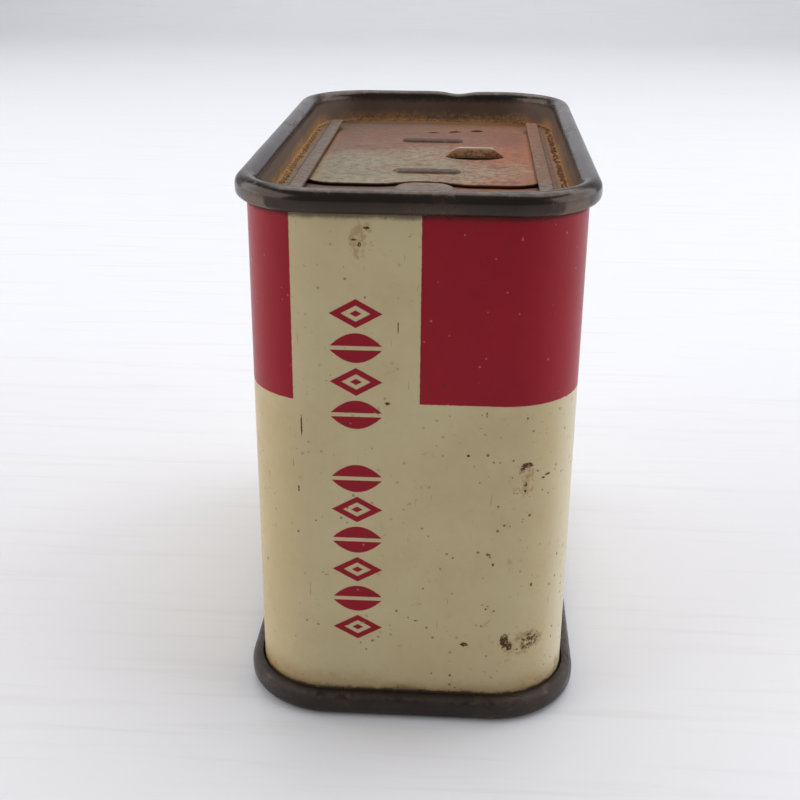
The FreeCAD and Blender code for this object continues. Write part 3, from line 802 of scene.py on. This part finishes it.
slide = {
    "low": slideLow[2] / mm,
    "middleY": (slideLow[1] + slideHigh[1]) / 2 / mm,
    "halfX": slideHigh[0] / mm,
    "halfY": (slideHigh[1] - slideLow[1]) / 2 / mm,
    "corner": 4.5,
    "notch": 0.3,           # middle of the notches
    "notchHalf": 5.9,
    "notchDepth": 1.6,
    "ribs": (-7.2, 13.8),
    "lug": (6.2, 3.2),
    "lugWidth": 7.6,
    "lugHeight": 1.2,
    "slot": 1.9,
}


def slideOutline():
    s = slide
    plan = roundedPlan(s["halfX"], s["halfY"], s["corner"], 0, s["middleY"], 14)
    points = []
    for corner in range(4):
        points += plan[corner * 15:corner * 15 + 15]
        if corner in (0, 2):
            away = 1 if corner == 0 else -1
            for i in range(33):
                t = 1 - 2 * i / 32
                dip = s["notchDepth"] * (0.5 + 0.5 * math.cos(math.pi * min(1.0, abs(t) ** 1.15)))
                x = s["notch"] + away * t * s["notchHalf"]
                points.append((x, s["middleY"] + away * (s["halfY"] - dip)))
    return points


def makeSlide():
    s = slide
    top = s["low"] + tin["sheet"]
    lugX, lugY = s["lug"]
    half = s["lugWidth"] / 2
    slot = []
    for i in range(41):
        t = -1 + 2 * i / 40
        torn = 0.12 * noise.noise(Vector((t * 9, 3.0, 0)))
        slot.append((lugX + t * half, lugY - 0.2 - (s["slot"] + torn) * (1 - abs(t) ** 2.6) ** 0.8))
    slot += [(lugX + half, lugY - 0.16), (lugX - half, lugY - 0.16)]
    sheet = flatPlate("slideSheet", slideOutline(), [slot], s["low"], top, 0.05)
    ribs = [softBoss("rib", 4.25, 1.0, 0.98, s["notch"], y, top - 0.05, top + 0.35) for y in s["ribs"]]
    rings = []
    count = 40
    for i in range(count + 1):
        t = -1 + 2 * i / count
        tall = 0.04 + (s["lugHeight"] - 0.05) * min(1.0, (1 - abs(t)) / 0.42) ** 0.75
        lean = 0.22 * (1 - t * t)
        x = lugX + t * half
        rings.append([(x, lugY - 0.17 - lean * 0.2, top - 0.15), (x, lugY + 0.17 - lean * 0.2, top - 0.15),
                      (x, lugY + 0.15 + lean, top + tall * 0.6), (x, lugY + 0.13 + lean, top + tall - 0.04),
                      (x, lugY + lean, top + tall), (x, lugY - 0.13 + lean, top + tall - 0.04),
                      (x, lugY - 0.17 + lean * 0.6, top + tall * 0.6)])
    lug = ringStack("lug", rings)
    return piece("slidePlate", [sheet, lug] + ribs, finishes["slide"])


slidePlate = makeSlide()
settle(slidePlate, "slide", "slide_plate")


# rust crumbs along the foot of the well

crumbs = {"density": 9.0e6, "grain": 0.19, "seed": 7}


def makeCrumbs():
    # a narrow strip of faces round the panel is what the grains are scattered over
    inner = roundedPlan(16.7, 33.45, 7.3, steps=10)
    outer = roundedPlan(17.42, 33.65, 7.7, steps=10)
    mesh = bpy.data.meshes.new("crumbGround")
    level = tin["panelTop"] + 0.03
    spots = [(x * mm, y * mm, level * mm) for x, y in inner + outer]
    count = len(inner)
    faces = [(i, (i + 1) % count, count + (i + 1) % count, count + i) for i in range(count)]
    mesh.from_pydata(spots, [], faces)
    values = {"Density": crumbs["density"], "Grain": crumbs["grain"] * mm, "Seed": crumbs["seed"],
              "Material": finishes["crumbs"]}
    grains = runTree(mesh, grainTree, values, "rustCrumbs")
    return piece("rustCrumbs", [grains], finishes["crumbs"], 180)


rustCrumbs = makeCrumbs()
settle(rustCrumbs, "tin", None)


# CAD nodes that stay as they are

plainNodes = {"side_seam_solder": "solder", "top_seam_compound": "paste", "bottom_seam_compound": "paste"}
for node, finish in plainNodes.items():
    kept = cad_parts[node]
    kept.data.materials.clear()
    kept.data.materials.append(finishes[finish])
print("pieces done")


# floor, light and camera

stage = {"floor": paint(226, 226, 230), "sky": paint(236, 240, 246), "skyStrength": 0.24}


def makeFloor():
    shop = Shop("paleTable")
    grainy = shop.cloud(1.0, 4.0, 0.6, 0.3, shop.stretch(0.02, 0.4, 0.02))
    colour = shop.mix(stage["floor"], paint(216, 214, 214), grainy.rise(0.5, 0.75) * 0.5)
    shop.finish(colour, 0.6, 0.0, grainy, 0.15, 0.0003)
    mesh = bpy.data.meshes.new("floor")
    reach, back, tall = 2.2, 0.75, 1.6
    bend = arcPoints(back, 0.25, 0.25, -90, 0, 12)
    rows = [(-reach, 0.0)] + [(y, z) for y, z in bend] + [(back + 0.25, tall)]
    spots = [(x, y, z) for y, z in rows for x in (-reach, reach)]
    faces = [(2 * i, 2 * i + 1, 2 * i + 3, 2 * i + 2) for i in range(len(rows) - 1)]
    mesh.from_pydata(spots, [], faces)
    mesh.materials.append(shop.material)
    mesh.shade_smooth()
    floor = bpy.data.objects.new("floor", mesh)
    bpy.context.scene.collection.objects.link(floor)


def makeLight(name, place, target, size, power, colour):
    data = bpy.data.lights.new(name, "AREA")
    data.shape = "RECTANGLE"
    data.size, data.size_y = size
    data.energy = power
    data.color = colour
    lamp = bpy.data.objects.new(name, data)
    lamp.location = place
    lamp.rotation_euler = (Vector(target) - Vector(place)).to_track_quat("-Z", "Y").to_euler()
    bpy.context.scene.collection.objects.link(lamp)


makeFloor()
makeLight("leftCard", (-0.55, -0.03, 0.26), (0, 0, 0.03), (0.9, 0.5), 3.0, (1.0, 0.99, 0.97))
makeLight("rightCard", (0.6, 0.04, 0.26), (0, 0, 0.03), (0.9, 0.5), 3.0, (0.97, 0.98, 1.0))
makeLight("ceiling", (0.12, 0.33, 0.75), (0, 0.05, 0.0), (1.1, 0.8), 6.0, (1.0, 1.0, 1.0))
world = bpy.data.worlds.new("room")
world.use_nodes = True
world.node_tree.nodes["Background"].inputs[0].default_value = stage["sky"]
world.node_tree.nodes["Background"].inputs[1].default_value = stage["skyStrength"]
bpy.context.scene.world = world
bpy.context.scene.view_settings.view_transform = "Standard"

view = {"place": (5.75, -156.59, 91.26), "turn": 3.29, "down": 22.39, "tilt": 0.43, "lens": 54.29}


def makeCamera():
    turn, down, tilt = (math.radians(view[k]) for k in ("turn", "down", "tilt"))
    ahead = Vector((-math.sin(turn) * math.cos(down), math.cos(turn) * math.cos(down), -math.sin(down)))
    across = Vector((math.cos(turn), math.sin(turn), 0))
    above = across.cross(ahead)
    right = across * math.cos(tilt) + above * math.sin(tilt)
    up = above * math.cos(tilt) - across * math.sin(tilt)
    data = bpy.data.cameras.new("camera")
    data.lens = view["lens"]
    data.sensor_width = 36.0
    data.clip_start = 0.005
    camera = bpy.data.objects.new("camera", data)
    rows = zip(right, up, -ahead, Vector(view["place"]) * mm)
    camera.matrix_world = Matrix([list(row) for row in rows] + [[0, 0, 0, 1]])
    bpy.context.scene.collection.objects.link(camera)
    bpy.context.scene.camera = camera


makeCamera()
print("stage set")
